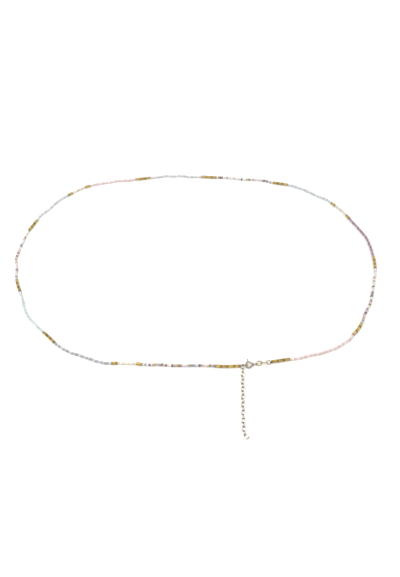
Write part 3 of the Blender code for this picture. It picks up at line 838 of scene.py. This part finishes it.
def makeBolt(material, size):
    # a curved round pin inside the ring, and a stem with a ball head that stands out through the slot
    radius = (size["diameter"] - size["wire"]) / 2
    tip = math.radians(size["mouthDeg"][0] - size["boltSeatDeg"])
    tail = math.radians(size["knobDeg"] + size["boltTailDeg"])
    around = size["boltAround"]
    leans = np.linspace(0, 2 * math.pi, around, endpoint=False)
    angles = np.linspace(tip, tail, size["boltSteps"])
    pin = torusPoints(angles, leans, radius, size["boltDiameter"] / 2).reshape(-1, 3)
    pinFaces = gridFaces(len(angles), around, False, True)
    pinCaps = endCaps(len(angles), around)

    # the knob's profile along its stem: stem, then a ball, all about the radial line at knobDeg
    ball = size["knobDiameter"] / 2
    middle = size["diameter"] / 2 + size["knobHeight"]
    turn = np.linspace(*size["knobTurnDeg"], size["knobSteps"]) * math.pi / 180
    along = np.concatenate([[radius, middle - ball * size["stemEnd"]], middle + ball * np.sin(turn)])
    reach = np.concatenate([[size["stemDiameter"] / 2] * 2, ball * np.cos(turn)])
    knob = np.stack([
        np.broadcast_to(along[:, None], (len(along), around)),
        reach[:, None] * np.cos(leans), reach[:, None] * np.sin(leans),
    ], axis=-1).reshape(-1, 3)
    turnTo = math.radians(size["knobDeg"])
    across = np.array([[math.cos(turnTo), math.sin(turnTo), 0], [-math.sin(turnTo), math.cos(turnTo), 0],
                       [0, 0, 1]])
    knob = knob @ across
    knobFaces = gridFaces(len(along), around, False, True)[:, ::-1] + len(pin)
    knobCaps = endCaps(len(along), around)[:, ::-1] + len(pin)
    place, directions = ringFrame()
    every = placed(np.concatenate([pin, knob]), place, directions)
    return putMesh("spring_ring_bolt", every, [pinFaces, pinCaps, knobFaces, knobCaps], material,
                   sharpDeg=size["boltSharpDeg"])


# Thread

thread = {
    "diameter": 0.32 * mm,
    "sides": 8,
    "step": 1.6 * mm,
    "height": 1.07 * mm,
    "inside": 1.5 * mm,     # how far each end's loop reaches back into its tube
    "slack": 0.02 * mm,
    "loopSteps": 14,
}


def threadPath(first, last, size):
    # level along the string
    distance = np.linspace(first, last, int((last - first) / size["step"]) + 1)
    return np.column_stack([onString(distance), np.full(len(distance), size["height"])])


def threadLoop(distance, node, side, sideways, size):
    # out of a tube, half round the wire of a link's tip, and back: two straight legs and a half
    # circle about the wire's middle, in the plane of the string and of sideways
    inside = np.array([*onString(distance), size["height"]])
    wireMiddle, wire = linkTip(node, side), claspLinks[node][2]
    ahead = unit(wireMiddle - inside)
    sideways = unit(sideways - ahead * (sideways @ ahead))
    reach = (wire + size["diameter"]) / 2 + size["slack"]
    turn = np.linspace(math.pi / 2, -math.pi / 2, size["loopSteps"])[:, None]
    bend = wireMiddle + reach * (np.cos(turn) * ahead + np.sin(turn) * sideways)
    start, end = inside + sideways * size["diameter"] / 2, inside - sideways * size["diameter"] / 2
    return np.vstack([start, bend, end]), np.cross(ahead, sideways)


def tubeAlong(path, normal, diameter, sides):
    # a circle of points carried along a path that lies square to normal, with capped ends
    over = np.cross(normal, unit(np.gradient(path, axis=0)))
    lean = np.linspace(0, 2 * math.pi, sides, endpoint=False)[None, :, None]
    points = path[:, None] + diameter / 2 * (over[:, None] * np.cos(lean) + normal * np.sin(lean))
    return points.reshape(-1, 3), gridFaces(len(path), sides, False, True), endCaps(len(path), sides)


def threadStrands(first, last, size):
    # through every bead, and a loop at each end that holds the link there
    across = np.array([0.0, 1.0, 0.0])
    paths = [
        (threadPath(first, last, size), upward),
        threadLoop(last - size["inside"], "end_link_left", -1, across, size),
        threadLoop(first + size["inside"], "end_ring_right", 1, upward, size),
    ]
    points, faceLists, shift = [], [], 0
    for path, normal in paths:
        strand, walls, caps = tubeAlong(path, normal, size["diameter"], size["sides"])
        points.append(strand)
        faceLists += [walls + shift, caps + shift]
        shift += len(strand)
    return np.concatenate(points), faceLists


def nylonThread():
    # bonded nylon beading thread, waxed: taupe with a slight twist, dark in the gaps
    material = newMaterial("waxedNylonThread", {"Roughness": 0.5, "IOR": 1.53})
    spot = addNode(material, "ShaderNodeTexCoord")
    # the twist, about 0.3 mm
    strand = addNode(material, "ShaderNodeTexNoise", {"Scale": 1.0 / (0.3 * mm), "Detail": 2.0},
                     {"Vector": spot.outputs["Object"]})
    tone = addNode(material, "ShaderNodeValToRGB", {"stops": [(0.0, "#9A8A70"), (1.0, "#6E5F48")]},
                   {"Fac": strand.outputs["Fac"]})
    return feedShader(material, {"Base Color": tone.outputs["Color"]})


# Making

print("stage: camera, soft boxes and floor")
addStudio(studio)

print("string: laying out the runs")
tubePitch = tubeBead["length"] + tubeBead["gap"]
firstLow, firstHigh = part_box("gold_tube_01")
firstMiddle = (np.array(firstLow[:2]) + np.array(firstHigh[:2])) / 2
searched = np.linspace(0.0, stringLayout["searchReach"], stringLayout["searchPoints"])
nearest = searched[np.argmin(np.linalg.norm(onMiddleLine(searched) - firstMiddle, axis=1))]
stringStart = nearest - tubePitch / 2
stringEnd = stringLength - stringLayout["endGap"]
tubeCount = sum(count for kind, count in stringRuns if kind == "tubes")
seedCount = sum(count for kind, count in stringRuns if kind != "tubes")
seedPitch = (stringEnd - stringStart - tubeCount * tubePitch) / seedCount
seedPlaces = {kind: [] for kind in seedLooks}
tubeStarts = []
place = stringStart
for kind, count in stringRuns:
    pitch = tubePitch if kind == "tubes" else seedPitch
    if kind == "tubes":
        tubeStarts += [place + pitch * bead for bead in range(count)]
    else:
        chart = mixedCharts.get(kind)
        for bead in range(count):
            colour = chartKinds[chart[bead]] if chart else kind
            seedPlaces[colour].append(place + pitch * (bead + 0.5))
    place += count * pitch

print("beads: seed beads in", len(seedLooks), "colours,", seedCount, "in all")
stringPieces = []
for kind, distances in seedPlaces.items():
    glass = pearlGlass(*seedLooks[kind])
    piece = seedBeads("seed_beads_" + kind.lower(), np.array(distances), glass, seedBead)
    stringPieces.append(piece)

print("beads:", tubeCount, "gold tubes")
tubes = tubeBeads("gold_tube_beads", np.array(tubeStarts), goldLinedGlass(), tubeBead)
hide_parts(*["gold_tube_%02d" % number for number in range(1, tubeCount + 1)])
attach(tubes, "chain")

print("thread")
line = putMesh("beading_thread", *threadStrands(stringStart, stringEnd, thread), nylonThread())
stringPieces.append(line)
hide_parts("bead_string_right", "bead_string_left")
for piece in stringPieces:
    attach(piece, "chain")

print("clasp: ring, bolt and links")
plates = {part: paleGoldPlate(*tones) for part, tones in plateTones.items()}
metalPieces = []
for node, size in claspLinks.items():
    link = wireLinks(node + "_wire", size, [nodeAxes(node)], plates["links"])
    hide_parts(node)
    metalPieces.append(link)
chain = wireLinks("extender_links", extender["link"], extenderFrames(), plates["extender"])
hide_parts("extender_chain")
metalPieces.append(chain)
ring = makeRing(plates["clasp"], springRing)
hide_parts("clasp_ring")
metalPieces.append(ring)
for piece in metalPieces:
    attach(piece, "chain")
bolt = makeBolt(plates["bolt"], springRing)
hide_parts("clasp_bolt")
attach(bolt, "bolt")
